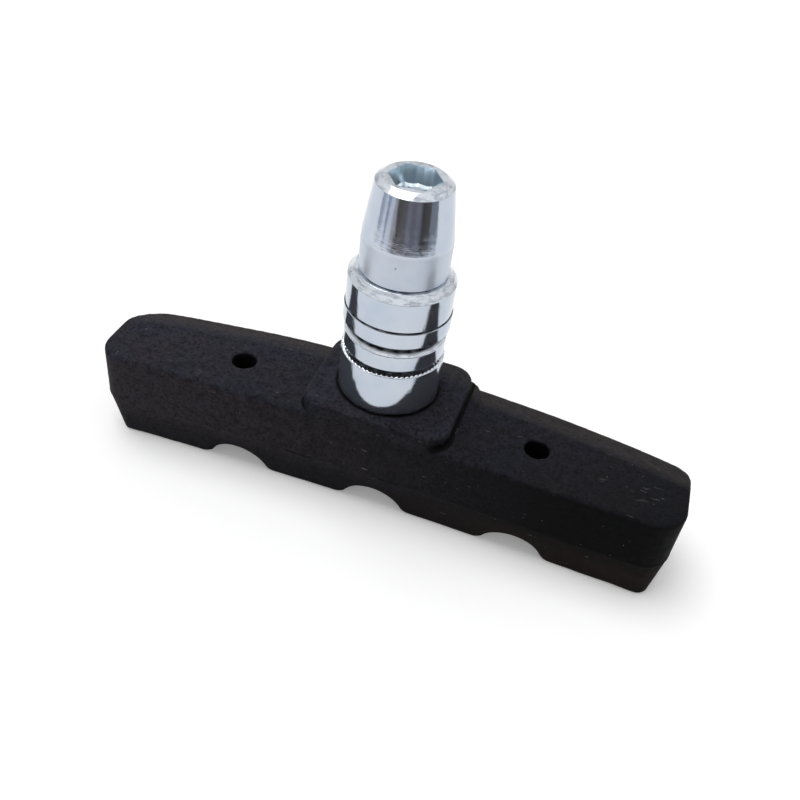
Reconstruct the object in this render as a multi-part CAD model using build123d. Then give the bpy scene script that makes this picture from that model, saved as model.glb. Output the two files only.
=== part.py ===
"""Bicycle rim brake pad: a moulded rubber shoe on a threaded post, with its washers and socket nut.

Millimetres, +Z up along the post. The origin is on the post's axis, in the plane of the
friction face, which is also the surface that the pad lies on. The shoe's length runs along X.
"""
import os
from math import sqrt

from build123d import *

# Shoe: the rubber moulding
SHOE_LENGTH = 70.6
SHOE_OFFSET = (1.1, -0.2)       # middle of the shoe from the post's axis
SHOE_HALF_WIDTH = 7.15          # at the middle of the shoe
FRONT_HOLLOW = 0.85             # how far the ends of the front stand forward of its middle
BACK_CROWN = (4.2, 3.65)        # how far the left and right ends of the rear curve fall short of its middle
FRONT_CORNERS = (3.2, 3.8)      # plan radii of the left and right front corners
REAR_CORNERS = (5.2, 2.4)       # and of the rear ones
CORNER_SHARPENING = 0.65        # share of those radii that is lost on the way to the friction face
SHOE_TOP = 12.3                 # back of the shoe above the friction face
PARTING_HEIGHT = 5.5            # widest section, where the two halves of the mould met
SIDE_TAPER = 0.9                # how far the sides come in from there to the friction face
END_TAPERS = (1.6, 1.0)         # and the left and right ends
BEVEL_RUN = 3.9                 # slope along the rear of the back, across the shoe
BEVEL_DROP = 0.95               # and its fall
TOP_EDGE = 0.3                  # bevel of the front edge of the back of the shoe
FOOT_EDGE = 0.2                 # bevel round the friction blocks

# Grooves between the four friction blocks
GROOVE_COUNT = 3
GROOVE_PITCH = SHOE_LENGTH / (GROOVE_COUNT + 1)
GROOVE_SHIFT = 0.3              # of the middle groove from the middle of the shoe
GROOVE_WIDTH = 7.3
GROOVE_DEPTH = 2.5
GROOVE_LIP = 0.6                # rounding where a groove meets the friction face
GROOVE_EDGE = 0.5               # bevel where a groove opens in the sides

# Boss that carries the washers
BOSS_LENGTH = 17.65
BOSS_SHIFT = -0.77              # from the middle of the shoe, along it
BOSS_RISE = 1.7                 # above the back of the shoe
BOSS_CORNER = 2.6
BOSS_EDGE = 0.35                # bevel round the top of the boss
LEDGE_WIDTH = 1.4               # level step beside the boss, where the rear slope stops short

# Steel plate and post moulded into the shoe
PLATE_LENGTH = 56.0
PLATE_WIDTH = 8.0
PLATE_THICKNESS = 1.6
PLATE_COVER = 3.7               # rubber between the plate and the back of the shoe
PIN_HOLE_DIAMETER = 2.9         # left by the pins that held the plate in the mould
PIN_HOLE_SPACING = 36.4
PIN_HOLE_MIDDLE = (-0.5, -1.6)  # halfway between the holes, from the middle of the shoe
POST_DIAMETER = 6.0
POST_CHAMFER = 0.6
POST_HEAD_DIAMETER = 9.0
POST_HEAD_HEIGHT = 1.3
POST_END_GAP = 0.4              # from the end of the post to the end of the nut's thread

# Washers with spherical seats
SEAT_RADIUS = 9.0
SEAT_GAP = 0.03                 # play between a dome and its cup
DOME_DIAMETER = 11.8
DOME_FACE_DIAMETER = 10.6       # foot of the spherical dome
DOME_BORE = 6.4
LOWER_DOME_HEIGHT = 5.65        # without its dome
UPPER_DOME_HEIGHT = 4.3
DOME_EDGE = 0.3                 # bevel round the rim of the lower dome washer
SHOULDER_WIDTH = 0.8            # bevel round the top of the upper dome washer
SHOULDER_HEIGHT = 0.85
LOWER_CUP_DIAMETER = 11.5
UPPER_CUP_DIAMETER = 12.0
CUP_HEIGHT = 2.7
CUP_BORE = 6.8
CUP_EDGE = 0.7                  # bevel that makes the groove where the two cups meet
CUP_RIM_EDGE = 0.2              # bevel round the open rim of a cup
LOWER_RIM_GAP = 0.5             # open line between the rims of the lower pair
UPPER_RIM_GAP = 0.06            # and of the upper pair

# Socket nut
NUT_DIAMETER = 9.7
NUT_RIM_DIAMETER = 8.1          # at the top of the cone
NUT_HEIGHT = 10.55
NUT_BARREL_HEIGHT = 4.3         # straight part, below the cone
NUT_FOOT_CHAMFER = 0.2
CROWN_HEIGHT = 0.55             # sloped ring between the cone and the flat end
CROWN_WIDTH = 0.75
HEX_ACROSS_FLATS = 5.0
HEX_DEPTH = 2.3
HEX_TURN = 5.0                  # degrees that the socket is turned about the post
SOCKET_BORE = 4.9               # drilled hole below the hexagon
THREAD_LENGTH = 6.0
THREAD_GAP = 0.02

# Heights that follow from the sizes above
BOSS_TOP = SHOE_TOP + BOSS_RISE
LOWER_DOME_RIM = BOSS_TOP + LOWER_DOME_HEIGHT
LOWER_CUP_BASE = LOWER_DOME_RIM + LOWER_RIM_GAP
CUP_MEETING = LOWER_CUP_BASE + CUP_HEIGHT
UPPER_CUP_RIM = CUP_MEETING + CUP_HEIGHT
UPPER_DOME_RIM = UPPER_CUP_RIM + UPPER_RIM_GAP
NUT_SEAT = UPPER_DOME_RIM + UPPER_DOME_HEIGHT
NUT_TOP = NUT_SEAT + NUT_HEIGHT
HEX_FLOOR = NUT_TOP - HEX_DEPTH
THREAD_TOP = NUT_SEAT + THREAD_LENGTH
POST_TOP = THREAD_TOP - POST_END_GAP
PLATE_TOP = SHOE_TOP - PLATE_COVER
PLATE_BOTTOM = PLATE_TOP - PLATE_THICKNESS
SEAT_FOOT = sqrt(SEAT_RADIUS**2 - (DOME_FACE_DIAMETER / 2) ** 2)
SHOE_PLACE = Pos(*SHOE_OFFSET, 0)

NEAR = 1e-3                     # for picking edges and corners by their place
UPWARDS = (Align.CENTER, Align.CENTER, Align.MIN)
DOWNWARDS = (Align.CENTER, Align.CENTER, Align.MAX)


def turned(points):
    """Solid of revolution about the post's axis, from a closed outline of (radius, height)."""
    return revolve(make_face(Plane.XZ * Polyline(*points, close=True)), Axis.Z)


def bored(solid, diameter):
    """The solid with a hole along the post's axis, right through."""
    return solid - Cylinder(diameter / 2, 4 * NUT_TOP)


def cup_body(diameter, flat, rim):
    """Outside of a cup washer between the heights of its flat face and its open rim, both bevelled."""
    edge = diameter / 2
    up = 1 if rim > flat else -1
    return turned([(0, flat), (edge - CUP_EDGE, flat), (edge, flat + up * CUP_EDGE),
                   (edge, rim - up * CUP_RIM_EDGE), (edge - CUP_RIM_EDGE, rim), (0, rim)])


def shoe_plan(drawn_in=0.0):
    """Outline of the shoe, with a faintly hollow front and a crowned rear. Its sides and ends are
    drawn in, and its corners sharpened, by that share of the way to the friction face."""
    left = -SHOE_LENGTH / 2 + drawn_in * END_TAPERS[0]
    right = SHOE_LENGTH / 2 - drawn_in * END_TAPERS[1]
    side = SHOE_HALF_WIDTH - drawn_in * SIDE_TAPER
    front_end = -side - FRONT_HOLLOW
    rear_left, rear_right = (side - fall for fall in BACK_CROWN)
    front = ThreePointArc((left, front_end), (0, -side), (right, front_end))
    rear = ThreePointArc((right, rear_right), (0, side), (left, rear_left))
    plan = make_face(front + Line(front @ 1, rear @ 0) + rear + Line(rear @ 1, front @ 0))
    places = ((left, front_end, 0), (right, front_end, 0), (left, rear_left, 0), (right, rear_right, 0))
    for place, radius in zip(places, FRONT_CORNERS + REAR_CORNERS):
        corner = plan.vertices().sort_by_distance(place)[0]
        plan = fillet(corner, radius * (1 - CORNER_SHARPENING * drawn_in))
    return plan


def rear_bevel():
    """Wedge that slopes the rear of the shoe's back, following the crowned rear curve."""
    crown = sum(BACK_CROWN) / 2
    crown_radius = ((SHOE_LENGTH / 2) ** 2 + crown**2) / (2 * crown)
    inner = crown_radius - BEVEL_RUN
    outer = crown_radius + BEVEL_RUN
    fall = BEVEL_DROP * (outer - inner) / BEVEL_RUN
    wedge = Polyline((inner, SHOE_TOP), (outer, SHOE_TOP), (outer, SHOE_TOP - fall), close=True)
    centre = Pos(0, SHOE_HALF_WIDTH - crown_radius, 0)
    return centre * revolve(make_face(Plane.YZ * wedge), Axis.Z, 360)


def block_section():
    """Side view of the foot: friction blocks parted by round grooves with rounded lips."""
    radius = ((GROOVE_WIDTH / 2) ** 2 + GROOVE_DEPTH**2) / (2 * GROOVE_DEPTH)
    section = Rectangle(2 * SHOE_LENGTH, PARTING_HEIGHT, align=(Align.CENTER, Align.MIN))
    first = GROOVE_SHIFT - GROOVE_PITCH * (GROOVE_COUNT - 1) / 2
    for i in range(GROOVE_COUNT):
        section -= Pos(first + i * GROOVE_PITCH, GROOVE_DEPTH - radius) * Circle(radius)
    lips = [v for v in section.vertices() if abs(v.Y) < NEAR and abs(v.X) < SHOE_LENGTH / 2]
    return fillet(lips, GROOVE_LIP)


def grooved_foot(plan):
    """Lower half of the shoe, tapered down to the friction blocks, its grooves bevelled at both sides."""
    sole = offset(shoe_plan(1.0), -FOOT_EDGE)
    above_sole = shoe_plan(1 - FOOT_EDGE / PARTING_HEIGHT)
    levels = [sole, Pos(0, 0, FOOT_EDGE) * above_sole, Pos(0, 0, PARTING_HEIGHT) * plan]
    foot = loft(levels, ruled=True) & extrude(Plane.XZ * block_section(), 4 * SHOE_HALF_WIDTH, both=True)
    openings = [e for e in foot.edges() if abs(e.bounding_box().max.Z - GROOVE_DEPTH) < NEAR]
    return chamfer(openings, GROOVE_EDGE)


def boss_plan(plan, shift=0.0):
    """Stretch of the shoe's outline that the boss takes up, with rounded corners."""
    stretch = Pos(BOSS_SHIFT + shift, 0) * Rectangle(BOSS_LENGTH, 4 * SHOE_HALF_WIDTH) & plan
    return fillet(stretch.vertices(), BOSS_CORNER)


def shoe_block():
    """Outer form of the shoe: straight upper half, tapered foot with grooves, sloped rear and boss."""
    plan = shoe_plan()
    upper = extrude(Pos(0, 0, PARTING_HEIGHT) * plan, SHOE_TOP - PARTING_HEIGHT)
    upper -= rear_bevel()
    back_edges = upper.faces().sort_by(Axis.Z)[-1].edges()
    upper = chamfer(back_edges.filter_by(lambda e: e.center().Y < 0), TOP_EDGE)
    ledge = extrude(Pos(0, 0, PLATE_TOP) * boss_plan(plan, LEDGE_WIDTH), SHOE_TOP - PLATE_TOP)
    boss = extrude(Pos(0, 0, PLATE_TOP) * boss_plan(plan), BOSS_TOP - PLATE_TOP)
    boss = chamfer(boss.faces().sort_by(Axis.Z)[-1].edges(), BOSS_EDGE)
    return upper + grooved_foot(plan) + ledge + boss


def backing_plate():
    """Steel strip inside the shoe, with a round hole for the post."""
    strip = extrude(SlotOverall(PLATE_LENGTH, PLATE_WIDTH), PLATE_THICKNESS)
    strip = SHOE_PLACE * Pos(0, 0, PLATE_BOTTOM) * strip
    return bored(strip, POST_DIAMETER)


def post():
    """Threaded post with its head under the plate, its M6 thread drawn plain."""
    radius = POST_DIAMETER / 2
    head = POST_HEAD_DIAMETER / 2
    bottom = PLATE_BOTTOM - POST_HEAD_HEIGHT
    return turned([(0, bottom), (head, bottom), (head, PLATE_BOTTOM), (radius, PLATE_BOTTOM),
                   (radius, POST_TOP - POST_CHAMFER), (radius - POST_CHAMFER, POST_TOP), (0, POST_TOP)])


def brake_shoe():
    """Rubber shoe, moulded round the plate and the post, with the two holes of the mould's pins."""
    shoe = SHOE_PLACE * shoe_block()
    pin = Pos(*PIN_HOLE_MIDDLE, PLATE_TOP) * Cylinder(PIN_HOLE_DIAMETER / 2, PLATE_COVER, align=UPWARDS)
    for side in (-1, 1):
        shoe -= SHOE_PLACE * Pos(side * PIN_HOLE_SPACING / 2, 0, 0) * pin
    return shoe - backing_plate() - post()


def lower_dome_washer():
    """Thick washer on the boss, with a spherical dome upwards."""
    edge = DOME_DIAMETER / 2
    body = turned([(0, BOSS_TOP), (edge, BOSS_TOP), (edge, LOWER_DOME_RIM - DOME_EDGE),
                   (edge - DOME_EDGE, LOWER_DOME_RIM), (0, LOWER_DOME_RIM)])
    centre = LOWER_DOME_RIM - SEAT_FOOT
    dome = Pos(0, 0, centre) * Sphere(SEAT_RADIUS)
    dome &= Pos(0, 0, LOWER_DOME_RIM) * Cylinder(edge, SEAT_RADIUS, align=UPWARDS)
    return bored(body + dome, DOME_BORE)


def lower_cup_washer():
    """Cup washer that sits on the lower dome, flat on top where the brake arm bears."""
    body = cup_body(LOWER_CUP_DIAMETER, CUP_MEETING, LOWER_CUP_BASE)
    seat = Pos(0, 0, LOWER_DOME_RIM - SEAT_FOOT) * Sphere(SEAT_RADIUS + SEAT_GAP)
    return bored(body - seat, CUP_BORE)


def upper_cup_washer():
    """Cup washer above the brake arm's place, open upwards."""
    body = cup_body(UPPER_CUP_DIAMETER, CUP_MEETING, UPPER_CUP_RIM)
    seat = Pos(0, 0, UPPER_DOME_RIM + SEAT_FOOT) * Sphere(SEAT_RADIUS + SEAT_GAP)
    return bored(body - seat, CUP_BORE)


def upper_dome_washer():
    """Washer under the nut, with a spherical dome downwards and a bevelled shoulder."""
    edge = DOME_DIAMETER / 2
    wall_top = NUT_SEAT - SHOULDER_HEIGHT
    body = turned([(0, UPPER_DOME_RIM), (edge, UPPER_DOME_RIM), (edge, wall_top),
                   (edge - SHOULDER_WIDTH, NUT_SEAT), (0, NUT_SEAT)])
    dome = Pos(0, 0, UPPER_DOME_RIM + SEAT_FOOT) * Sphere(SEAT_RADIUS)
    dome &= Pos(0, 0, UPPER_DOME_RIM) * Cylinder(edge, SEAT_RADIUS, align=DOWNWARDS)
    return bored(body + dome, DOME_BORE)


def socket_nut():
    """Tapered barrel nut with a sloped crown, threaded below and with a hexagon socket above."""
    foot = NUT_DIAMETER / 2
    rim = NUT_RIM_DIAMETER / 2
    body = turned([(0, NUT_SEAT), (foot - NUT_FOOT_CHAMFER, NUT_SEAT), (foot, NUT_SEAT + NUT_FOOT_CHAMFER),
                   (foot, NUT_SEAT + NUT_BARREL_HEIGHT), (rim, NUT_TOP - CROWN_HEIGHT),
                   (rim - CROWN_WIDTH, NUT_TOP), (0, NUT_TOP)])
    hexagon = RegularPolygon(HEX_ACROSS_FLATS / 2, 6, major_radius=False, rotation=HEX_TURN)
    body -= extrude(Pos(0, 0, HEX_FLOOR) * hexagon, HEX_DEPTH)
    thread = Cylinder(POST_DIAMETER / 2 + THREAD_GAP, THREAD_LENGTH, align=UPWARDS)
    return bored(body - Pos(0, 0, NUT_SEAT) * thread, SOCKET_BORE)


os.makedirs("parts", exist_ok=True)
PIECES = (brake_shoe, backing_plate, post, lower_dome_washer, lower_cup_washer,
          upper_cup_washer, upper_dome_washer, socket_nut)
for piece in PIECES:
    export_step(piece(), f"parts/{piece.__name__}.step")
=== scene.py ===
"""Looks of the bicycle rim brake pad: moulded rubber, bright zinc plating and a white studio floor.

The scene is in metres. Sizes below are in millimetres, in the part's own frame, unless a comment says
otherwise, and MM turns them into metres.
"""
import math

import bmesh
import bpy
import numpy as np
from mathutils import Matrix, Vector, noise


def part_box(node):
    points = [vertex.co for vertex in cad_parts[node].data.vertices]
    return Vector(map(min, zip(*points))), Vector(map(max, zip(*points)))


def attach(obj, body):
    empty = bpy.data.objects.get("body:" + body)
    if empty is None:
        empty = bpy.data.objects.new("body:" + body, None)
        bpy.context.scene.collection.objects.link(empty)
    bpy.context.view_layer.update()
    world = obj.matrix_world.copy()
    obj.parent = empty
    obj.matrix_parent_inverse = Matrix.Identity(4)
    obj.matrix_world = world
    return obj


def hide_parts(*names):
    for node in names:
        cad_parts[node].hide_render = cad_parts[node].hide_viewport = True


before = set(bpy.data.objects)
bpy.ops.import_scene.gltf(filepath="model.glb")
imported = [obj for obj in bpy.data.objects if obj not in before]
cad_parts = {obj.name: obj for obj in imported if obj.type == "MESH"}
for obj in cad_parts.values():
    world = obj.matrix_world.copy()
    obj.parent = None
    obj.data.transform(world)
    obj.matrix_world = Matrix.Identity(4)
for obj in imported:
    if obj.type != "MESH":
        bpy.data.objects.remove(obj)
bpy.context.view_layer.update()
MM = 0.001

# Camera, fitted to the photograph
CAMERA_PLACE = (19.12, -77.62, 81.0)
CAMERA_YAW = -12.63             # degrees from +Y towards +X
CAMERA_PITCH = 41.03            # degrees below the horizon
CAMERA_ROLL = -8.51             # degrees
CAMERA_LENS = 39.92             # focal length on a 36 mm sensor
CAMERA_SENSOR = 36.0
CAMERA_CLIP = (0.005, 20.0)     # nearest and furthest places in view, in metres

# Studio
FLOOR_RADIUS = 2500.0
FLOOR_POINTS = 96               # round its edge
FLOOR_WHITE = 0.90              # share of the light that the floor gives back
FLOOR_LIFT = 0.20               # glow of the floor, for the camera and for reflections only
WORLD_LIGHT = 0.48              # light from all round
WORLD_SEEN = 1.0                # what the camera sees beyond the floor
HORIZON_MIRRORED = 0.80         # what the metal mirrors beyond the floor, level with it
CEILING_MIRRORED = 1.0          # and overhead
CEILING_RISE = (0.35, 0.75)     # rise of a ray, per length, from the one light to the other
KEY_PLACE = (-140.0, 20.0, 520.0)  # the key light shines from that side, evenly on the whole floor
KEY_SPREAD = 42.0               # degrees, for soft shadows
KEY_STRENGTH = 1.6
FLAG_RADIUS = 111.0             # dark curved card in front, which only reflections show
FLAG_HEIGHT = 62.0
FLAG_POINTS = 48                # along its foot
FLAG_ANGLES = (-70.0, 86.0)     # degrees from -Y towards +X
FLAG_WAVER = 0.05               # radians that the edge of a stripe strays to either side
FLAG_STRIPES = (                # degrees, and the colour from there on
    (-70.0, (0.500, 0.510, 0.570)),
    (-60.0, (0.830, 0.860, 0.930)),
    (-50.0, (0.330, 0.340, 0.400)),
    (-41.0, (0.780, 0.800, 0.860)),
    (-31.0, (0.470, 0.440, 0.440)),
    (-22.0, (0.075, 0.058, 0.050)),
    (-8.0, (0.110, 0.092, 0.090)),
    (2.0, (0.060, 0.052, 0.052)),
    (6.0, (0.200, 0.185, 0.215)),
    (17.0, (0.135, 0.125, 0.150)),
    (27.0, (0.180, 0.170, 0.200)),
    (37.0, (0.120, 0.112, 0.130)),
    (42.0, (0.012, 0.012, 0.014)),
    (52.0, (0.060, 0.045, 0.036)),
    (65.0, (0.220, 0.235, 0.270)),
)

# Form of the rubber shoe
VOXEL = 0.2115                  # spacing of the skin's vertices
SMOOTHING_STEPS = 6
SMOOTHING_FACTOR = 0.5
CAVITY_REACH = 0.05             # margin for telling the plate's hidden pocket from the shoe's outside
HOLE_SKIN = 0.2                 # rubber left over the plate at the bottom of a hole
WELD = 1e-7                     # metres within which two vertices are one
WAVE_HEIGHT = 0.05              # slow unevenness of the moulding
WAVE_LENGTH = 7.0
WAVE_SINK = 0.5                 # share of that height by which the skin lies further in
GRAIN_HEIGHT = 0.012            # fine unevenness
GRAIN_LENGTH = 0.9
PARTING_HEIGHT = 5.5            # where the two halves of the mould met
FLASH_HEIGHT = 0.14             # thin ridge of rubber along that line
FLASH_WIDTH = 0.13
FLASH_MEAN = 0.45               # usual share of that height, and how much it varies
FLASH_PATCHY = 0.9
FLASH_PATCH_LENGTH = 4.0
FLASH_PATCH_SLICE = 3.7         # level at which the noise is cut for the patches
FLASH_FADE = 1.6                # how soon the ridge ends where a side turns up or down
LEFT_TUCK = 0.8                 # how much further in the left end of the friction face lies
LEFT_TUCK_LENGTH = 5.0
SHOE_TOP = 12.3
HOLE_RADIUS = 1.45
HOLE_SPACING = 36.4
HOLE_MIDDLE = (0.6, -1.8)       # halfway between the two holes
GROOVE_PLACES = (-16.3, 1.4, 19.1)
GROOVE_RADIUS = 3.92
GROOVE_CENTRE = -1.42           # height of the middle of a groove's arc
BOSS_LEFT = -8.5
BOSS_RIGHT = 9.16
BOSS_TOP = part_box("lower_dome_washer")[0].z / MM  # the lowest washer stands on the boss
BOSS_CORNER = 2.6               # radius of its two front corners
BOSS_CORNER_ACROSS = -4.75      # where the middles of those corners lie across the shoe

# Dust, lint, painted shade and a painted sheen on the rubber. An EDGE is a pair of depths below a top,
# between which a look begins. A LINE is how far outside a wall it runs, and how far from there it starts to
# fade and ends
TOP_EDGE = (0.6, 0.2)           # from the look of the sides to that of the back
TOP_DUST_AND_SHADE = (-55.0, 62.0)        # from full dust to none along the shoe, on its back; this fall is also painted shade, darker to the right
SIDE_DUST_AND_SHADE = (-38.0, 24.0)       # and on its sides, likewise
DUST_SLANT = 1.2                # how far the dust's edge runs along the shoe, per length across it
DUST_PATCHES = (0.75, 1.25, 0.30, 1.70)  # least and most of the noise, and the share of dust there
BOSS_DUST = 0.72                # share of dust on the boss
BOSS_DUST_EDGE = (0.8, 0.2)
FOOT_DUST_AND_SHADE = 0.45                # share of the sides' dust low on the foot, so that it is painted darker there
FOOT_DUST_DEPTH = 2.5           # below the parting line, where it is down to that
REAR_CURVE = 0.0032             # how far the rear falls back, per length along the shoe squared
REAR_SLOPE = (3.0, 5.0)         # across the shoe, where the slope at the rear gets warm dust and a painted sheen
REAR_DUST_AND_SHEEN = 0.65
BROWN_HEIGHT = (3.0, 6.0)       # from brown to black rubber, low on the right
BROWN_ALONG = (-5.0, 20.0)      # and from black to brown along the shoe
# Painted shade in the holes, grooves, cracks and crevices, and round the lowest washer's foot
HOLE_LIP = 0.1                  # outside a hole's wall, from black to clear
HOLE_SHADE_EDGE = (0.4, 0.05)   # and upwards in the hole
GROOVE_SHADE = (0.05, 0.2)      # outside a groove's arc, from black to clear
BEVEL_SHADE = (0.45, 0.7)       # and on the bevel at the left of its opening
BEVEL_LEFT = (-2.4, -1.2)       # along the shoe from the groove's middle
CRACKS = ((-8.0, 2.2), (3.3, 1.6), (24.5, 4.2))  # open lengths of the flash line: middle, half length
CRACK_LINE = (-0.12, 0.05, 0.18)  # above the parting line
CRACK_FULL = 0.7                # share of a crack's length before it fades
CREVICE_LINE = (0.1, 0.2, 0.32)  # along the boss's right-hand wall
CREVICE_ACROSS = (-5.4, -4.6)
CREVICE_CORNER_LINE = (0.15, 0.25, 0.4)  # and round its right front corner
CREVICE_CORNER_ALONG = (6.6, 7.8)
CREVICE_HEIGHT_LINE = (0.25, 0.25, 0.75)  # above the shoe's top
NICK_LINE = (0.1, 0.06, 0.17)   # fine nick at the boss's left front corner
NICK_ALONG = (-7.9, -7.2)
NICK_ACROSS = (-5.2, -4.6)
RING_LINE = (0.05, 0.12, 0.32)  # round the foot of the lowest washer
RING_EDGE = (0.3, 0.15)
LINT_COVER = (0.05, 0.7)        # where it lies thinly and thickly
BOSS_LINT = 0.55
BOSS_LINT_EDGE = (0.4, 0.1)
LINT_PLACE = (31.8, -3.7, SHOE_TOP)  # where a tuft of lint lies
TUFT_LINT = 0.30
TUFT_REACH = (1.4, 2.6)         # from the tuft's middle, from full to none
STRAY_LINT = 0.25               # single strands on the shoe's back
STRAY_LINT_EDGE = (0.3, 0.1)
PORE_COVER = 0.6
SHADE_COVER = 0.95              # cover of the painted shade in crevices, grooves and holes
RUBBER_ROUGHNESS = (0.62, 0.82)

# Form of the metal
SEGMENTS = 240                  # round each turned piece
ARC_STEPS = 6
TURNED_CREASE = 38.0            # degrees past which an edge looks sharp, on turned pieces
THREAD_CREASE = 45.0            # and on the thread
SEAT_RADIUS = 9.0
SEAT_GAP = 0.03
DOME_FACE = 5.3                 # radius at the foot of a dome
DOME_BORE = 3.2
DOME_EDGE = 0.3
CUP_BORE = 3.4
CUP_EDGE = 0.7
RIM_EDGE = 0.2
FINE_EDGE = 0.08
SHOULDER_WIDTH = 0.8
SHOULDER_HEIGHT = 0.85
SCALLOP_COUNT = 64              # small notches along the rim of the lower dome washer
SCALLOP_DEPTH = 0.20
SCALLOP_START = 0.3             # from the dome's foot outwards, until a notch is fully deep
SCALLOP_RISE = 0.25             # above and below the rim, where it ends
NUT_RIM_RADIUS = 4.05
NUT_BARREL = 4.3
NUT_BARREL_EDGE = 0.3
NUT_FOOT_CHAMFER = 0.2
NUT_FOOT_EDGE = 0.05
CROWN_WIDTH = 0.75              # sloped crown between the cone and the flat end
CROWN_HEIGHT = 0.55
CROWN_FOOT_EDGE = 0.10
CROWN_TOP_EDGE = 0.25
THREAD_BORE = 3.02
THREAD_LENGTH = 6.0
SOCKET_BORE = 2.45
HEX_FLATS = 5.0
HEX_TURN = 5.0                  # degrees
HEX_DEPTH = 2.3
HEX_EDGE = 0.06
BURR_WIDTH = 0.26               # torn ledge where the hexagon's cutter stopped
BURR_HEIGHT = 0.24
BURR_RAGGED = 0.16
BURR_TEARS = 4.0                # how often it is torn, and the level at which the noise is cut for it
BURR_SLICE = 1.7
POST_RADIUS = 3.0
POST_LEAD = 0.7                 # height over which the thread starts at the post's end
THREAD_PITCH = 1.0
THREAD_DEPTH = 0.55
THREAD_SEGMENTS = 72
THREAD_RINGS_PER_PITCH = 10

# Finish and wear of the metal
SEAM_WIDTH = 0.14               # grime and painted shade on either side of a seam between two pieces
GROOVE_GRIME_AND_SHADE = 0.50             # and in the groove between the two cup washers
FOOT_GRIME_AND_SHADE = 0.36               # and where the lower dome washer stands on the boss
SLOPED = (0.25, 0.5)            # upward part of a face's normal, from an upright wall to a sloped face
NUT_SATIN = (-0.4, 0.1)         # above the barrel's top, from its satin to the smooth cone
STAIN_COVER = 0.4
BRUSHED_COVER = 0.55
PIT_COVER = 0.7
BLOOM_COVER = 0.5
SEAM_ROUGHNESS = 0.7
SOCKET_ROUGHNESS = (0.16, 0.28)
STEEL_ROUGHNESS = (0.28, 0.5)

# Colours: red, green, blue and cover
RUBBER_CLEAN = (0.0020, 0.0022, 0.0028, 1)
RUBBER_BROWN = (0.0105, 0.0075, 0.0062, 1)
RUBBER_PORES = (0.0015, 0.0015, 0.0018, 1)
# painted shade for crevices, grooves, holes and the ring round the lowest washer's foot
RUBBER_SHADE = (0.0004, 0.0004, 0.0004, 1)
DUST_COOL = (0.0270, 0.0280, 0.0400, 1)
DUST_WARM = (0.0310, 0.0285, 0.0360, 1)
DUST_SIDES = (0.0305, 0.0268, 0.0330, 1)
# warm dust and a painted sheen, lighter on the rear slope
DUST_AND_SHEEN_REAR = (0.049, 0.044, 0.043, 1)
LINT = (0.20, 0.20, 0.215, 1)
ZINC_COOL = (0.48, 0.545, 0.640, 1)
ZINC_PALE = (0.55, 0.595, 0.665, 1)
ZINC_STAINED = (0.42, 0.37, 0.31, 1)
# painted highlight: lighter zinc on the sloped faces
ZINC_SLOPE_HIGHLIGHT = (0.66, 0.70, 0.76, 1)
ZINC_BRUSHED = (0.17, 0.20, 0.245, 1)
ZINC_PITS = (0.10, 0.085, 0.075, 1)
# grime and painted shade in the seams between pieces
GRIME_AND_SHADE = (0.010, 0.012, 0.017, 1)
SOCKET_COOL = (0.72, 0.84, 0.93, 1)
SOCKET_PALE = (0.84, 0.93, 0.98, 1)
STEEL_BARE = (0.45, 0.46, 0.48, 1)
STEEL_BLOOM = (0.26, 0.21, 0.17, 1)
FLOOR_COLOUR = (FLOOR_WHITE, FLOOR_WHITE, FLOOR_WHITE, 1)
WHITE = (1, 1, 1, 1)


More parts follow.
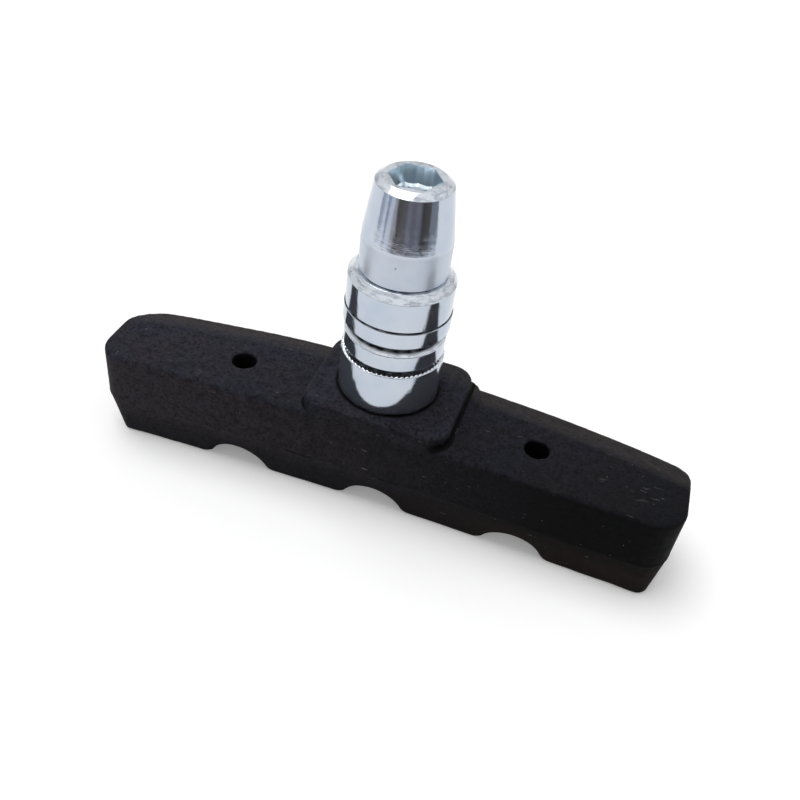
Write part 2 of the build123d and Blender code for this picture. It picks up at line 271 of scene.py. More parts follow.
class Shader:
    """Procedural nodes of a material or of the world. Its calls return output sockets."""

    def __init__(self, owner):
        owner.use_nodes = True
        self.owner = owner
        self.tree = owner.node_tree
        self.tree.nodes.clear()

    def node(self, kind, inputs=None, **settings):
        made = self.tree.nodes.new("ShaderNode" + kind)
        for name, value in settings.items():
            setattr(made, name, value)
        for key, value in (inputs or {}).items():
            if isinstance(value, bpy.types.NodeSocket):
                self.tree.links.new(value, made.inputs[key])
            else:
                made.inputs[key].default_value = value
        return made

    def places(self, stretch=(1, 1, 1), turn=(0, 0, 0)):
        """Places on the object in millimetres, turned (degrees) and then stretched."""
        coords = self.node("TexCoord").outputs["Object"]
        scale = [s / MM for s in stretch]
        angles = [math.radians(a) for a in turn]
        inputs = {"Vector": coords, "Rotation": angles, "Scale": scale}
        return self.node("Mapping", inputs).outputs["Vector"]

    def axes(self, places):
        """The places' x, y and z."""
        return self.node("SeparateXYZ", {0: places}).outputs

    def distance(self, places, centre):
        """How far the places lie from a centre."""
        return self.node("VectorMath", {0: places, 1: centre}, operation="DISTANCE").outputs["Value"]

    def math(self, operation, a, b=0.0):
        return self.node("Math", {0: a, 1: b}, operation=operation).outputs[0]

    def highest(self, values):
        """The highest of several values."""
        top = values[0]
        for value in values[1:]:
            top = self.math("MAXIMUM", top, value)
        return top

    def noise(self, places, scale=1.0, detail=3.0, roughness=0.5):
        inputs = {"Vector": places, "Scale": scale, "Detail": detail, "Roughness": roughness}
        return self.node("TexNoise", inputs).outputs["Fac"]

    def spread(self, value, low, high, to_low=0.0, to_high=1.0):
        """The value from low to high, spread over to_low to to_high and held there."""
        return self.node("MapRange", {0: value, 1: low, 2: high, 3: to_low, 4: to_high}).outputs[0]

    def fade(self, value, full, none):
        """1 up to a full value, falling to 0."""
        return self.spread(value, full, none, 1.0, 0.0)

    def rise(self, height, top, edge, share=1.0):
        """0 below an edge, a pair of depths below a top, and a share above it."""
        deep, shallow = edge
        return self.spread(height, top - deep, top - shallow, 0.0, share)

    def near(self, value, place, inner, outer):
        """1 within inner of a place, falling to 0 at outer."""
        away = self.math("ABSOLUTE", self.math("SUBTRACT", value, place))
        return self.fade(away, inner, outer)

    def blend(self, share, first, second):
        return self.node("Mix", {0: share, 6: first, 7: second}, data_type="RGBA").outputs[2]

    def specks(self, places, scale, size, share, core=0.55, dimensions="3D"):
        """Scattered dots of that size, full in their core, on that share of the cells."""
        cells = self.node("TexVoronoi", {"Vector": places, "Scale": scale}, voronoi_dimensions=dimensions)
        dot = self.fade(cells.outputs["Distance"], core * size * scale, size * scale)
        lottery = self.node("SeparateColor", {0: cells.outputs["Color"]}).outputs[0]
        return self.math("MULTIPLY", dot, self.math("LESS_THAN", lottery, share))

    def bump(self, height, distance, strength=1.0, normal=None):
        inputs = {"Height": height, "Distance": distance * MM, "Strength": strength}
        if normal is not None:
            inputs["Normal"] = normal
        return self.node("Bump", inputs).outputs["Normal"]

    def surface(self, **inputs):
        """Ends the material in a principled surface with these sockets."""
        named = {key.replace("_", " "): value for key, value in inputs.items()}
        shader = self.node("BsdfPrincipled", named)
        self.finish(shader.outputs[0])

    def finish(self, shader):
        """Ends the material or the world in a shader."""
        kind = "OutputWorld" if isinstance(self.owner, bpy.types.World) else "OutputMaterial"
        self.tree.links.new(shader, self.node(kind).inputs["Surface"])


def rubber_dust_and_shade(m, places, mottle, grain):
    """Share of dust, which is also painted shade: thickest at the rear left and on the boss, patchy, and
    thin low on the sides, so that the rubber is darker to the right and low down.
    """
    x, y, z = m.axes(places)
    # The fall of the dust along the shoe and down its sides also paints shade, darker to the right and low
    # down.
    along = m.math("SUBTRACT", x, m.math("MULTIPLY", y, DUST_SLANT))
    on_boss = m.rise(z, BOSS_TOP, BOSS_DUST_EDGE, BOSS_DUST)
    on_top = m.math("MAXIMUM", m.fade(along, *TOP_DUST_AND_SHADE), on_boss)
    low = m.spread(z, PARTING_HEIGHT - FOOT_DUST_DEPTH, PARTING_HEIGHT, FOOT_DUST_AND_SHADE, 1.0)
    on_side = m.math("MULTIPLY", m.fade(x, *SIDE_DUST_AND_SHADE), low)
    top = m.rise(z, SHOE_TOP, TOP_EDGE)
    settled_and_shaded = m.math("ADD", m.math("MULTIPLY", on_top, top),
                     m.math("MULTIPLY", on_side, m.math("SUBTRACT", 1.0, top)))
    patches = m.spread(m.math("ADD", mottle, grain), *DUST_PATCHES)
    return m.math("MULTIPLY", settled_and_shaded, patches)


def rubber_hole_shade(m, places):
    """1 inside the two holes left by the mould's pins, where the rubber is painted black as shade."""
    flat = m.places((1, 1, 0))
    x, y = HOLE_MIDDLE
    rings = []
    for side in (-1, 1):
        away = m.distance(flat, (x + side * HOLE_SPACING / 2, y, 0.0))
        rings.append(m.fade(away, HOLE_RADIUS, HOLE_RADIUS + HOLE_LIP))
    deep = m.math("SUBTRACT", 1.0, m.rise(m.axes(places)[2], SHOE_TOP, HOLE_SHADE_EDGE))
    return m.math("MULTIPLY", m.highest(rings), deep)


def rubber_groove_shade(m):
    """1 inside the grooves of the friction face and on the bevel at the left of their openings, where they
    are painted black as shade.
    """
    flat = m.places((1, 0, 1))
    along = m.axes(flat)[0]
    rings = []
    for x in GROOVE_PLACES:
        outside = m.math("SUBTRACT", m.distance(flat, (x, 0.0, GROOVE_CENTRE)), GROOVE_RADIUS)
        left = m.fade(m.math("SUBTRACT", along, x), *BEVEL_LEFT)
        bevel = m.math("MULTIPLY", m.fade(outside, *BEVEL_SHADE), left)
        rings.append(m.highest([m.fade(outside, *GROOVE_SHADE), bevel]))
    return m.highest(rings)


def rubber_crevice_shade(m, places):
    """1 in the open lengths of the flash line, in the crevice at the boss's right-hand wall, in the fine
    nick at its front left corner and round the foot of the lowest washer, where the rubber is painted black
    as shade."""
    x, y, z = m.axes(places)
    crack = m.near(m.math("SUBTRACT", z, PARTING_HEIGHT), *CRACK_LINE)
    lengths = m.highest([m.near(x, middle, CRACK_FULL * half, half) for middle, half in CRACKS])
    flat = m.places((1, 1, 0))
    left, right = (m.math("SUBTRACT", m.distance(flat, (middle, BOSS_CORNER_ACROSS, 0.0)), BOSS_CORNER)
                   for middle in (BOSS_LEFT + BOSS_CORNER, BOSS_RIGHT - BOSS_CORNER))
    corner = m.math("MULTIPLY", m.near(right, *CREVICE_CORNER_LINE), m.spread(x, *CREVICE_CORNER_ALONG))
    nick = m.math("MULTIPLY", m.near(left, *NICK_LINE), m.fade(x, *NICK_ALONG))
    nick = m.math("MULTIPLY", nick, m.fade(y, *NICK_ACROSS))
    straight = m.near(m.math("SUBTRACT", x, BOSS_RIGHT), *CREVICE_LINE)
    straight = m.math("MULTIPLY", straight, m.spread(y, *CREVICE_ACROSS))
    height = m.near(m.math("SUBTRACT", z, SHOE_TOP), *CREVICE_HEIGHT_LINE)
    wall = m.math("MULTIPLY", m.highest([straight, corner, nick]), height)
    outside = m.math("SUBTRACT", m.distance(flat, (0.0, 0.0, 0.0)), span("lower_dome_washer")[0])
    ring = m.math("MULTIPLY", m.near(outside, *RING_LINE), m.rise(z, BOSS_TOP, RING_EDGE))
    return m.highest([m.math("MULTIPLY", crack, lengths), wall, ring])


def rubber_lint(m, places, mottle):
    """Dots, lint and curled fibres that lie on the rubber, and how thickly they lie."""
    z = m.axes(places)[2]
    curl = m.node("TexNoise", {"Vector": places, "Scale": 0.8}).outputs["Color"]

    def curled(stretch, turn, sway=(0.5, 0.5, 0.5)):
        inputs = {0: curl, 1: sway, 2: m.places(stretch, turn)}
        return m.node("VectorMath", inputs, operation="MULTIPLY_ADD").outputs["Vector"]

    dots = m.specks(places, scale=0.75, size=0.08, share=0.6)
    lint = m.specks(curled((0.16, 1, 1), (0, 0, 28)), scale=1.1, size=0.075, share=0.5)
    fibres = m.specks(curled((1, 0.18, 1), (20, 0, -15)), scale=1.0, size=0.07, share=0.45)
    marks = m.highest([dots, lint, fibres])
    thick = m.highest([m.spread(mottle, 0.40, 0.66, *LINT_COVER),
                       m.rise(z, BOSS_TOP, BOSS_LINT_EDGE, BOSS_LINT)])
    strands = curled((0.28, 3.4, 0), (0, 0, 8), sway=(0.3, 2.5, 0))
    hairs = m.specks(strands, scale=1.0, size=0.16, share=0.35, dimensions="2D")
    tuft = m.spread(m.distance(places, LINT_PLACE), *TUFT_REACH, TUFT_LINT, 0.0)
    stray = m.spread(m.noise(places, scale=0.42, detail=1.0), 0.64, 0.70, 0.0, STRAY_LINT)
    stray = m.math("MULTIPLY", stray, m.rise(z, SHOE_TOP, STRAY_LINT_EDGE))
    curls = m.math("MULTIPLY", hairs, m.highest([tuft, stray]))
    return m.highest([marks, curls]), m.highest([m.math("MULTIPLY", marks, thick), curls])


def rubber():
    """Matt black moulded rubber: speckled, dusty to the left and on the boss, with specks and lint. Painted
    shade darkens its crevices, grooves and holes and, with the dust, its right end; a painted sheen
    lightens the rear slope.
    """
    m = Shader(bpy.data.materials.new("moulded_rubber"))
    places = m.places()
    x, y, z = m.axes(places)
    cloud = m.noise(places, scale=0.16, detail=3.0, roughness=0.6)
    mottle = m.noise(places, scale=0.9, detail=5.0, roughness=0.65)
    grain = m.noise(places, scale=2.6, detail=4.0, roughness=0.7)
    brown = m.math("MULTIPLY", m.fade(z, *BROWN_HEIGHT), m.spread(x, *BROWN_ALONG))
    clean = m.blend(brown, RUBBER_CLEAN, RUBBER_BROWN)
    dusty = m.blend(m.spread(cloud, 0.40, 0.62), DUST_COOL, DUST_WARM)
    dusty = m.blend(m.rise(z, SHOE_TOP, TOP_EDGE), DUST_SIDES, dusty)
    tone = m.blend(rubber_dust_and_shade(m, places, mottle, grain), clean, dusty)
    # warm dust and a painted sheen on the slope at the rear
    across = m.math("ADD", y, m.math("MULTIPLY", m.math("MULTIPLY", x, x), REAR_CURVE))
    rear = m.spread(across, *REAR_SLOPE, 0.0, REAR_DUST_AND_SHEEN)
    rear = m.math("MULTIPLY", rear, m.spread(mottle, 0.30, 0.60, 0.4, 1.0))
    tone = m.blend(rear, tone, DUST_AND_SHEEN_REAR)
    tone = m.blend(m.spread(grain, 0.30, 0.46, PORE_COVER, 0.0), tone, RUBBER_PORES)
    painted_shade = m.highest([rubber_crevice_shade(m, places), rubber_groove_shade(m), rubber_hole_shade(m, places)])
    # painted shade: crevices, grooves, holes and the washer's foot turn near black
    tone = m.blend(m.math("MULTIPLY", painted_shade, SHADE_COVER), tone, RUBBER_SHADE)
    marks, lint = rubber_lint(m, places, mottle)
    colour = m.blend(lint, tone, LINT)
    relief = m.math("ADD", mottle, m.math("MULTIPLY", grain, 0.4))
    rough = m.spread(relief, 0.4, 1.0, *RUBBER_ROUGHNESS)
    fine = m.bump(grain, distance=0.06, strength=0.45)
    coarse = m.bump(mottle, distance=0.12, strength=0.35, normal=fine)
    raised = m.bump(marks, distance=0.05, strength=0.5, normal=coarse)
    m.surface(Base_Color=colour, Roughness=rough, Normal=raised, Specular_IOR_Level=0.06)
    return m.owner


def plating(name, smooth, satin, seams, satin_span=None):
    """Bright bluish zinc on turned steel, painted lighter as a highlight and brushed where it slopes, and
    darkened along the seams (pairs of height and width) with grime and painted shade. Roughness goes from
    satin to smooth up satin_span, a pair of heights, or between the two by patches where there is none."""
    m = Shader(bpy.data.materials.new(name))
    places = m.places()
    height = m.axes(places)[2]
    cloud = m.noise(places, scale=0.30, detail=3.0, roughness=0.55)
    peel = m.noise(places, scale=1.1, detail=1.5, roughness=0.5)
    rings = m.noise(m.places((0.10, 0.10, 9.0)), detail=4.0, roughness=0.7)
    runs = m.noise(m.places((0.25, 0.25, 2.2)), detail=5.0, roughness=0.7)
    scuffs = m.noise(m.places((0.7, 0.7, 3.0)), detail=4.0, roughness=0.65)
    streaks = m.noise(m.places((2.2, 2.2, 0.12)), detail=4.0, roughness=0.6)
    upright = m.axes(m.node("NewGeometry").outputs["Normal"])[2]
    sloped = m.spread(m.math("ABSOLUTE", upright), *SLOPED)
    colour = m.blend(m.spread(cloud, 0.35, 0.65), ZINC_COOL, ZINC_PALE)
    colour = m.blend(m.spread(runs, 0.64, 0.78, 0.0, STAIN_COVER), colour, ZINC_STAINED)
    # painted highlight on the sloped faces
    colour = m.blend(sloped, colour, ZINC_SLOPE_HIGHLIGHT)
    brushed = m.math("MULTIPLY", sloped, m.spread(scuffs, 0.46, 0.64, 0.0, BRUSHED_COVER))
    colour = m.blend(brushed, colour, ZINC_BRUSHED)
    pits = m.specks(places, scale=0.40, size=0.13, share=0.45)
    colour = m.blend(m.math("MULTIPLY", pits, PIT_COVER), colour, ZINC_PITS)
    # grime and painted shade along the seams between pieces
    dirt_and_shade = m.highest([m.near(height, seam, width / 2, width) for seam, width in seams])
    dirt_and_shade = m.math("MULTIPLY", dirt_and_shade, m.spread(peel, 0.30, 0.55, 0.80, 1.0))
    colour = m.blend(dirt_and_shade, colour, GRIME_AND_SHADE)
    if satin_span:
        base = m.spread(height, *satin_span, satin, smooth)
    else:
        base = m.spread(cloud, 0.3, 0.7, smooth, satin)
    rough = m.math("ADD", base, m.spread(rings, 0.35, 0.75, -0.03, 0.05))
    rough = m.math("MAXIMUM", rough, m.math("MULTIPLY", dirt_and_shade, SEAM_ROUGHNESS))
    turned = m.bump(rings, distance=0.010, strength=0.4)
    drawn = m.bump(streaks, distance=0.025, strength=0.5, normal=turned)
    dents = m.math("MULTIPLY", peel, m.math("ADD", 1.0, sloped))
    uneven = m.bump(dents, distance=0.035, strength=0.35, normal=drawn)
    m.surface(Base_Color=colour, Roughness=rough, Normal=uneven, Metallic=0.93)
    return m.owner


def socket_zinc():
    """Dull bluish zinc inside the nut's socket, with the upright marks of the cutter."""
    m = Shader(bpy.data.materials.new("zinc_socket"))
    strokes = m.noise(m.places((3.0, 3.0, 0.25)), detail=4.0, roughness=0.6)
    colour = m.blend(m.spread(strokes, 0.35, 0.65), SOCKET_COOL, SOCKET_PALE)
    rough = m.spread(strokes, 0.3, 0.7, *SOCKET_ROUGHNESS)
    cut = m.bump(strokes, distance=0.02, strength=0.3)
    m.surface(Base_Color=colour, Roughness=rough, Normal=cut, Metallic=0.9)
    return m.owner


def steel():
    """Plain mild steel with drawn lines and a little brown bloom."""
    m = Shader(bpy.data.materials.new("mild_steel"))
    lines = m.noise(m.places((0.3, 6, 6)), detail=4.0, roughness=0.6)
    bloom = m.noise(m.places(), scale=0.5, detail=4.0, roughness=0.6)
    colour = m.blend(m.spread(bloom, 0.5, 0.75, 0.0, BLOOM_COVER), STEEL_BARE, STEEL_BLOOM)
    rough = m.spread(lines, 0.3, 0.7, *STEEL_ROUGHNESS)
    drawn = m.bump(lines, distance=0.02, strength=0.4)
    m.surface(Base_Color=colour, Roughness=rough, Normal=drawn, Metallic=1.0)
    return m.owner


def view_rays(m):
    """1 for rays from the camera, and for mirrored or refracted ones."""
    path = m.node("LightPath").outputs
    return m.highest([path["Is Camera Ray"], path["Is Glossy Ray"], path["Is Transmission Ray"]])


def floor_white():
    """Matt white that keeps shadows, lifted to a white background for the camera and the metal."""
    m = Shader(bpy.data.materials.new("studio_floor"))
    lift = m.math("MULTIPLY", view_rays(m), FLOOR_LIFT)
    glow = m.node("Emission", {"Strength": lift})
    matt = m.node("BsdfDiffuse", {"Color": FLOOR_COLOUR})
    m.finish(m.node("AddShader", {0: matt.outputs[0], 1: glow.outputs[0]}).outputs[0])
    return m.owner


def flag_dark():
    """Dark card with upright stripes, as the unlit side of a room mirrors in the nut."""
    m = Shader(bpy.data.materials.new("dark_flag"))
    places = m.places()
    x, y, _ = m.axes(places)
    angle = m.math("ARCTAN2", x, m.math("MULTIPLY", y, -1.0))
    first, last = (math.radians(a) for a in FLAG_ANGLES)
    waver = m.spread(m.noise(places, scale=0.05), 0.3, 0.7, -FLAG_WAVER, FLAG_WAVER)
    ramp = m.node("ValToRGB", {0: m.spread(m.math("ADD", angle, waver), first, last)})
    stops = ramp.color_ramp.elements
    while len(stops) < len(FLAG_STRIPES):
        stops.new(1.0)
    for stop, (degrees, colour) in zip(stops, FLAG_STRIPES):
        stop.position = (math.radians(degrees) - first) / (last - first)
        stop.color = (*colour, 1)
    ramp.color_ramp.interpolation = "CONSTANT"
    m.finish(m.node("Emission", {"Color": ramp.outputs[0]}).outputs[0])
    return m.owner


def add_mesh(name, vertices, faces, smooth=True):
    """A mesh object from vertices in millimetres."""
    mesh = bpy.data.meshes.new(name)
    mesh.from_pydata([tuple(c * MM for c in v) for v in vertices], [], faces)
    mesh.update()
    mesh.polygons.foreach_set("use_smooth", [smooth] * len(mesh.polygons))
    obj = bpy.data.objects.new(name, mesh)
    bpy.context.scene.collection.objects.link(obj)
    return obj


def rounded(points):
    """A closed outline of (radius, height, edge): each corner with an edge is turned into an arc."""
    count = len(points)
    outline = []
    for i, (r, z, edge) in enumerate(points):
        corner = Vector((r, z))
        if not edge:
            outline.append((r, z))
            continue
        before = (Vector(points[i - 1][:2]) - corner).normalized()
        after = (Vector(points[(i + 1) % count][:2]) - corner).normalized()
        half = before.angle(after) / 2
        centre = corner + (before + after).normalized() * edge / math.sin(half)
        start = corner + before * edge / math.tan(half) - centre
        end = corner + after * edge / math.tan(half) - centre
        for step in range(ARC_STEPS + 1):
            spoke = start.lerp(end, step / ARC_STEPS).normalized() * edge
            outline.append(tuple(centre + spoke))
    return outline


def sphere_arc(centre, radius, start, end, upper):
    """Points (radius, height, 0) along a sphere about the axis, between two radii."""
    points = []
    for step in range(ARC_STEPS + 1):
        r = start + (end - start) * step / ARC_STEPS
        rise = math.sqrt(radius**2 - r**2)
        points.append((r, centre + (rise if upper else -rise), 0))
    return points


def lathe(name, outline, shape=None):
    """A closed ring turned about the post from an outline. shape(j, radius, height, angle) gives the
    radius and height of the outline's point j at an angle."""
    count = len(outline)
    vertices = []
    for i in range(SEGMENTS):
        angle = math.radians(HEX_TURN) + 2 * math.pi * i / SEGMENTS
        for j, (r, z) in enumerate(outline):
            if shape:
                r, z = shape(j, r, z, angle)
            vertices.append((r * math.cos(angle), r * math.sin(angle), z))
    faces = []
    for i in range(SEGMENTS):
        here, there = i * count, ((i + 1) % SEGMENTS) * count
        for j in range(count):
            k = (j + 1) % count
            faces.append((here + j, there + j, there + k, here + k))
    obj = add_mesh(name, vertices, faces)
    obj.data.set_sharp_from_angle(angle=math.radians(TURNED_CREASE))
    return obj


def span(node):
    """Outer radius, lowest and highest height of a turned node, in millimetres."""
    low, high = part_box(node)
    return high.x / MM, low.z / MM, high.z / MM


def dress(obj, node, slot, *materials):
    """Stands the piece in for its node, with its finish."""
    for material in materials:
        obj.data.materials.append(material)
    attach(obj, "root")
    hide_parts(node)


SEAT_FOOT = math.sqrt(SEAT_RADIUS**2 - DOME_FACE**2)
DOME_RISE = math.sqrt(SEAT_RADIUS**2 - DOME_BORE**2) - SEAT_FOOT


def lower_dome_washer():
    """Thick washer on the boss. Fine notches run along the rim below its dome."""
    outer, base, top = span("lower_dome_washer")
    rim = top - DOME_RISE

    def notched(j, r, z, angle):
        level = max(0.0, 1 - abs(z - rim) / SCALLOP_RISE)
        outside = max(0.0, min(1.0, (r - DOME_FACE) / SCALLOP_START))
        wave = 0.5 - 0.5 * math.cos(SCALLOP_COUNT * angle)
        return r, z - SCALLOP_DEPTH * wave * level * outside

    outline = rounded([(DOME_BORE, base, 0), (outer, base, FINE_EDGE), (outer, rim, DOME_EDGE)]
                      + sphere_arc(rim - SEAT_FOOT, SEAT_RADIUS, DOME_FACE, DOME_BORE, True))
    return lathe("washer_lower_dome", outline, notched)


def cup_outline(node, flat, rim, seat):
    """Outline of a cup washer from its flat face to its open rim, with the spherical seat inside."""
    outer = span(node)[0]
    slope = CUP_EDGE if rim > flat else -CUP_EDGE
    return rounded([(CUP_BORE, flat, 0), (outer - CUP_EDGE, flat, FINE_EDGE),
                    (outer, flat + slope, RIM_EDGE), (outer, rim, RIM_EDGE), (seat[0][0], rim, 0)] + seat)


def lower_cup_washer():
    """Cup washer on the lower dome."""
    _, base, top = span("lower_cup_washer")
    centre = span("lower_dome_washer")[2] - DOME_RISE - SEAT_FOOT
    foot = math.sqrt((SEAT_RADIUS + SEAT_GAP) ** 2 - (base - centre) ** 2)
    seat = sphere_arc(centre, SEAT_RADIUS + SEAT_GAP, foot, CUP_BORE, True)
    return lathe("washer_lower_cup", cup_outline("lower_cup_washer", top, base, seat))


def upper_cup_washer():
    """Cup washer above it, the other way up."""
    _, base, top = span("upper_cup_washer")
    centre = span("upper_dome_washer")[1] + DOME_RISE + SEAT_FOOT
    foot = math.sqrt((SEAT_RADIUS + SEAT_GAP) ** 2 - (centre - top) ** 2)
    seat = sphere_arc(centre, SEAT_RADIUS + SEAT_GAP, foot, CUP_BORE, False)
    return lathe("washer_upper_cup", cup_outline("upper_cup_washer", base, top, seat))


def upper_dome_washer():
    """Washer under the nut, with a bevelled shoulder."""
    outer, base, top = span("upper_dome_washer")
    rim = base + DOME_RISE
    dome = sphere_arc(rim + SEAT_FOOT, SEAT_RADIUS, DOME_BORE, DOME_FACE, False)
    outline = rounded(dome + [(outer, rim, FINE_EDGE), (outer, top - SHOULDER_HEIGHT, FINE_EDGE),
                              (outer - SHOULDER_WIDTH, top, FINE_EDGE), (DOME_BORE, top, 0)])
    return lathe("washer_upper_dome", outline)


def hex_radius(angle):
    """Distance from the axis to the socket's wall."""
    sector = math.radians(60)
    turned = (angle - math.radians(HEX_TURN)) % sector - sector / 2
    return HEX_FLATS / 2 / math.cos(turned)


def socket_nut():
    """Tapered barrel nut with a hexagon socket, which ends in a torn ledge above the drilled bore."""
    outer, base, top = span("socket_nut")
    floor = top - HEX_DEPTH
    thread_top = base + THREAD_LENGTH
    outside = rounded([(SOCKET_BORE, thread_top, 0), (THREAD_BORE, thread_top, 0), (THREAD_BORE, base, 0),
                       (outer - NUT_FOOT_CHAMFER, base, 0), (outer, base + NUT_FOOT_CHAMFER, NUT_FOOT_EDGE),
                       (outer, base + NUT_BARREL, NUT_BARREL_EDGE),
                       (NUT_RIM_RADIUS, top - CROWN_HEIGHT, CROWN_FOOT_EDGE),
                       (NUT_RIM_RADIUS - CROWN_WIDTH, top, CROWN_TOP_EDGE), (SOCKET_BORE, top, 0)])[:-1]
    # Distances from the hexagon's wall, and heights
    socket = [(HEX_EDGE, top), (0.0, top - HEX_EDGE), (0.0, floor + BURR_HEIGHT), (-BURR_WIDTH, floor)]
    ragged = {len(outside) + 2, len(outside) + 3}

    def socketed(j, r, z, angle):
        if j < len(outside) or j == len(outside) + len(socket):
            return r, z
        around = Vector((BURR_TEARS * math.cos(angle), BURR_TEARS * math.sin(angle), BURR_SLICE))
        tear = noise.noise(around)
        return hex_radius(angle) + r, z + (BURR_RAGGED * tear if j in ragged else 0.0)

    obj = lathe("nut_with_socket", outside + socket + [(SOCKET_BORE, floor - BURR_WIDTH)], socketed)
    inside = HEX_FLATS / math.sqrt(3) + HEX_EDGE / 2
    for face in obj.data.polygons:
        deep = face.center.z < (top - HEX_EDGE) * MM
        face.material_index = int(deep and math.hypot(face.center.x, face.center.y) < inside * MM)
    return obj


def threaded_post():
    """Post with its head in the shoe and a rolled thread above the boss."""
    head_radius, base, top = span("post")
    plate_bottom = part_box("backing_plate")[0].z / MM
    steps = int((top - BOSS_TOP) / THREAD_PITCH * THREAD_RINGS_PER_PITCH)
    rings = [(0.0, base), (head_radius, base), (head_radius, plate_bottom), (POST_RADIUS, plate_bottom)]
    rings += [(POST_RADIUS, BOSS_TOP + (top - BOSS_TOP) * i / steps) for i in range(steps + 1)]
    rings += [(0.0, top)]
    vertices, faces = [], []
    for r, z in rings:
        for i in range(THREAD_SEGMENTS):
            angle = 2 * math.pi * i / THREAD_SEGMENTS
            phase = (z / THREAD_PITCH - angle / (2 * math.pi)) % 1.0
            threaded = r == POST_RADIUS and z > BOSS_TOP
            cut = THREAD_DEPTH * (1 - abs(2 * phase - 1)) if threaded else 0.0
            lead = max(0.0, POST_LEAD - (top - z)) if threaded else 0.0
            radius = r - max(cut, lead)
            vertices.append((radius * math.cos(angle), radius * math.sin(angle), z))
    for k in range(len(rings) - 1):
        for i in range(THREAD_SEGMENTS):
            j = (i + 1) % THREAD_SEGMENTS
            a, b = k * THREAD_SEGMENTS, (k + 1) * THREAD_SEGMENTS
            faces.append((a + i, a + j, b + j, b + i))
    obj = add_mesh("post_threaded", vertices, faces)
    weld = bmesh.new()
    weld.from_mesh(obj.data)
    bmesh.ops.remove_doubles(weld, verts=weld.verts, dist=WELD)
    weld.to_mesh(obj.data)
    weld.free()
    obj.data.set_sharp_from_angle(angle=math.radians(THREAD_CREASE))
    return obj


def outer_skin():
    """The shoe's outside from its solid, without the hidden pocket of the plate."""
    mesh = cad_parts["brake_shoe"].data.copy()
    low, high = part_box("backing_plate")
    post_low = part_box("post")[0]
    reach = CAVITY_REACH * MM

    def hidden(v):
        in_plate = low.x - reach < v.co.x < high.x + reach and low.y - reach < v.co.y < high.y + reach
        return in_plate and post_low.z - reach < v.co.z < high.z + reach

    skin = bmesh.new()
    skin.from_mesh(mesh)
    bmesh.ops.remove_doubles(skin, verts=skin.verts, dist=WELD)
    pocket = [f for f in skin.faces if all(hidden(v) for v in f.verts)]
    bmesh.ops.delete(skin, geom=pocket, context="FACES")
    rims = [e for e in skin.edges if e.is_boundary]
    for v in {v for e in rims for v in e.verts}:
        v.co.z += HOLE_SKIN * MM
    bmesh.ops.holes_fill(skin, edges=rims)
    bmesh.ops.recalc_face_normals(skin, faces=skin.faces)
    skin.to_mesh(mesh)
    skin.free()
    return mesh


def rubber_shoe():
    """The moulded shoe: the solid's form with soft edges, an uneven skin and the mould's flash line."""
    obj = bpy.data.objects.new("shoe_rubber", outer_skin())
    bpy.context.scene.collection.objects.link(obj)
    remesh = obj.modifiers.new("even_skin", "REMESH")
    remesh.mode = "VOXEL"
    remesh.voxel_size = VOXEL * MM
    soften = obj.modifiers.new("soft_edges", "SMOOTH")
    soften.factor = SMOOTHING_FACTOR
    soften.iterations = SMOOTHING_STEPS
    made = bpy.data.meshes.new_from_object(obj.evaluated_get(bpy.context.evaluated_depsgraph_get()))
    obj.modifiers.clear()
    obj.data = made
    obj.data.name = "shoe_rubber"
    made.materials.clear()
    weather(made)
    made.polygons.foreach_set("use_smooth", [True] * len(made.polygons))
    return obj


def weather(mesh):
    """Moves the shoe's vertices along their normals for slow waves, fine grain and the flash line, and
    tucks in the left end of its foot."""
    low, high = (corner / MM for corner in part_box("brake_shoe"))
    places = np.zeros(len(mesh.vertices) * 3, np.float32)
    normals = np.zeros(len(mesh.vertices) * 3, np.float32)
    mesh.vertices.foreach_get("co", places)
    mesh.vertex_normals.foreach_get("vector", normals)
    places = places.reshape(-1, 3) / MM
    normals = normals.reshape(-1, 3)
    moved = np.zeros(len(places))
    for i, (place, normal) in enumerate(zip(places, normals)):
        at = Vector(place)
        wave = WAVE_HEIGHT * (noise.noise(at / WAVE_LENGTH) - WAVE_SINK)
        grain = GRAIN_HEIGHT * noise.noise(at / GRAIN_LENGTH)
        side = max(0.0, 1 - abs(normal[2]) * FLASH_FADE)
        patch = Vector((at.x / FLASH_PATCH_LENGTH, at.y / FLASH_PATCH_LENGTH, FLASH_PATCH_SLICE))
        strength = max(0.0, FLASH_MEAN + FLASH_PATCHY * noise.noise(patch))
        ridge = math.exp(-(((at.z - PARTING_HEIGHT) / FLASH_WIDTH) ** 2))
        moved[i] = wave + grain + side * FLASH_HEIGHT * strength * ridge
    places += normals * moved[:, None]
    end = np.clip((low.x + LEFT_TUCK_LENGTH - places[:, 0]) / LEFT_TUCK_LENGTH, 0, 1)
    places[:, 0] += LEFT_TUCK * end * np.clip(1 - places[:, 2] / PARTING_HEIGHT, 0, 1)
    places = np.clip(places, np.array(low), np.array(high))
    mesh.vertices.foreach_set("co", (places * MM).astype(np.float32).ravel())
    mesh.update()


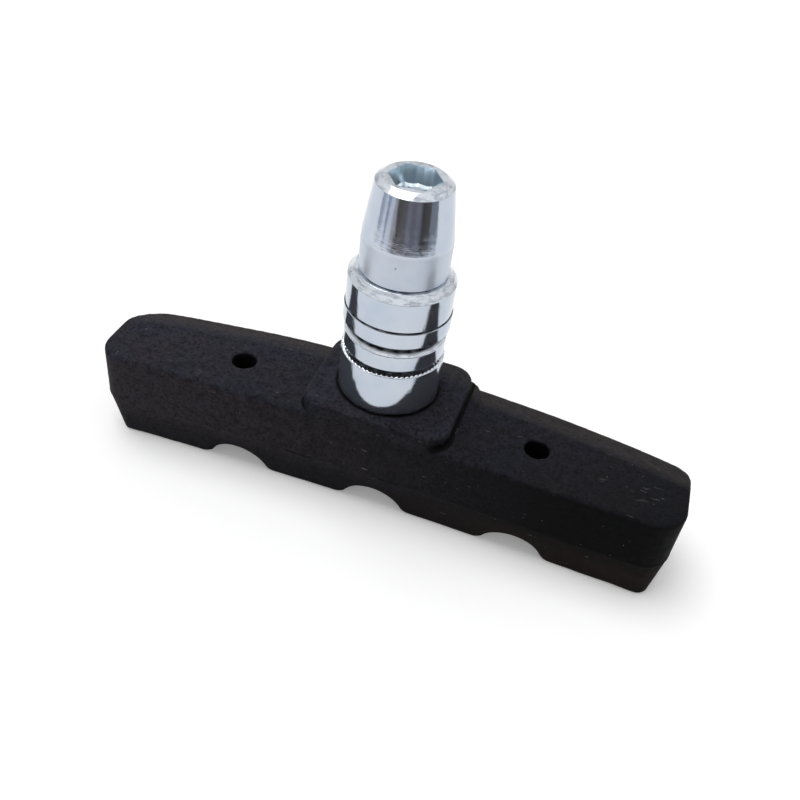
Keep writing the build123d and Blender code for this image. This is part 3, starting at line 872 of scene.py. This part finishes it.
def studio():
    """White floor, soft light and the dark flag in front."""
    rim = [(FLOOR_RADIUS * math.cos(a), FLOOR_RADIUS * math.sin(a), 0.0)
           for a in np.linspace(0, 2 * math.pi, FLOOR_POINTS, endpoint=False)]
    floor = add_mesh("floor", rim, [tuple(range(len(rim)))], smooth=False)
    floor.data.materials.append(floor_white())
    arc = [math.radians(a) for a in np.linspace(*FLAG_ANGLES, FLAG_POINTS)]
    foot = [(FLAG_RADIUS * math.sin(a), -FLAG_RADIUS * math.cos(a), 0.0) for a in arc]
    head = [(x, y, FLAG_HEIGHT) for x, y, _ in foot]
    panels = [(i, i + 1, len(arc) + i + 1, len(arc) + i) for i in range(len(arc) - 1)]
    flag = add_mesh("dark_flag", foot + head, panels)
    flag.data.materials.append(flag_dark())
    flag.visible_camera = False
    flag.visible_diffuse = False
    flag.visible_shadow = False
    key = bpy.data.lights.new("key_light", "SUN")
    key.angle = math.radians(KEY_SPREAD)
    key.energy = KEY_STRENGTH
    lamp = bpy.data.objects.new("key_light", key)
    lamp.location = Vector(KEY_PLACE) * MM
    lamp.rotation_euler = (-lamp.location).to_track_quat("-Z", "Y").to_euler()
    bpy.context.scene.collection.objects.link(lamp)
    surroundings()


def surroundings():
    """Even light from all round, white where the camera looks past the floor, brighter overhead in
    the metal."""
    world = bpy.data.worlds.new("studio")
    bpy.context.scene.world = world
    m = Shader(world)
    path = m.node("LightPath").outputs
    upwards = m.axes(m.node("TexCoord").outputs["Generated"])[2]
    above = m.spread(upwards, *CEILING_RISE, HORIZON_MIRRORED, CEILING_MIRRORED)
    light = m.node("Mix", {0: path["Is Glossy Ray"], 2: WORLD_LIGHT, 3: above}).outputs[0]
    light = m.node("Mix", {0: path["Is Camera Ray"], 2: light, 3: WORLD_SEEN}).outputs[0]
    m.finish(m.node("Background", {"Color": WHITE, "Strength": light}).outputs[0])


def camera():
    """The photograph's point of view."""
    yaw, pitch, roll = (math.radians(a) for a in (CAMERA_YAW, CAMERA_PITCH, CAMERA_ROLL))
    ahead = Vector((math.sin(yaw) * math.cos(pitch), math.cos(yaw) * math.cos(pitch), -math.sin(pitch)))
    level = Vector((math.cos(yaw), -math.sin(yaw), 0))
    down = ahead.cross(level)
    right = level * math.cos(roll) + down * math.sin(roll)
    up = level * math.sin(roll) - down * math.cos(roll)
    data = bpy.data.cameras.new("camera")
    data.lens = CAMERA_LENS
    data.sensor_width = CAMERA_SENSOR
    data.clip_start, data.clip_end = CAMERA_CLIP
    obj = bpy.data.objects.new("camera", data)
    obj.matrix_world = Matrix((right, up, -ahead)).transposed().to_4x4()
    obj.location = Vector(CAMERA_PLACE) * MM
    bpy.context.scene.collection.objects.link(obj)
    bpy.context.scene.camera = obj


bpy.context.scene.view_settings.view_transform = "Standard"
camera()
studio()
steel_finish = steel()
nut_base = span("socket_nut")[1]
barrel_top = nut_base + NUT_BARREL
washer_seams = [(span("upper_cup_washer")[2], SEAM_WIDTH), (span("upper_cup_washer")[1], GROOVE_GRIME_AND_SHADE),
                (span("lower_cup_washer")[1], SEAM_WIDTH), (BOSS_TOP, FOOT_GRIME_AND_SHADE)]
bright = plating("zinc_bright", smooth=0.06, satin=0.12, seams=washer_seams)
nut_finish = plating("zinc_nut", smooth=0.10, satin=0.34, seams=[(nut_base, SEAM_WIDTH / 2)],
                     satin_span=[barrel_top + height for height in NUT_SATIN])
dress(rubber_shoe(), "brake_shoe", "rubber", rubber())
dress(threaded_post(), "post", "steel", steel_finish)
dress(lower_dome_washer(), "lower_dome_washer", "plating", bright)
dress(lower_cup_washer(), "lower_cup_washer", "plating", bright)
dress(upper_cup_washer(), "upper_cup_washer", "plating", bright)
dress(upper_dome_washer(), "upper_dome_washer", "plating", bright)
dress(socket_nut(), "socket_nut", "plating", nut_finish, socket_zinc())
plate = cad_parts["backing_plate"]
plate.data.materials.clear()
plate.data.materials.append(steel_finish)
